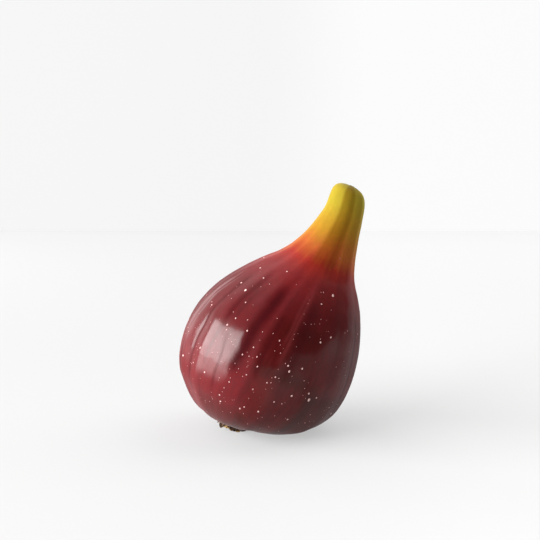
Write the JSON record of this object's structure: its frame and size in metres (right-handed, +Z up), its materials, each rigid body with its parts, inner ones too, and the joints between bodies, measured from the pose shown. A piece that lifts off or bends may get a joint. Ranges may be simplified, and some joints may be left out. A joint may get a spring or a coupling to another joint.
{
  "type": "fresh fig",
  "caption": "Whole fresh fig with glossy ribbed maroon skin that turns orange and yellow-green up its neck, resting on its eye end with the stem end leaning over.",
  "frame": {"origin": "on the surface that the fig rests on, below the middle of its bounding box", "axes": "+Z up from the resting surface; the neck leans towards +X and the eye is low on the -X side; the picture looks along +Y"},
  "size_m": [0.0502, 0.0482, 0.068],
  "materials": {
    "fig_skin": "glossy waxy fruit skin, dark maroon on the body, crimson and orange on the shoulder, yellow-green at the stem end"
  },
  "bodies": {
    "root": {"fig_fruit": "fig_skin"}
  },
  "joints": []
}
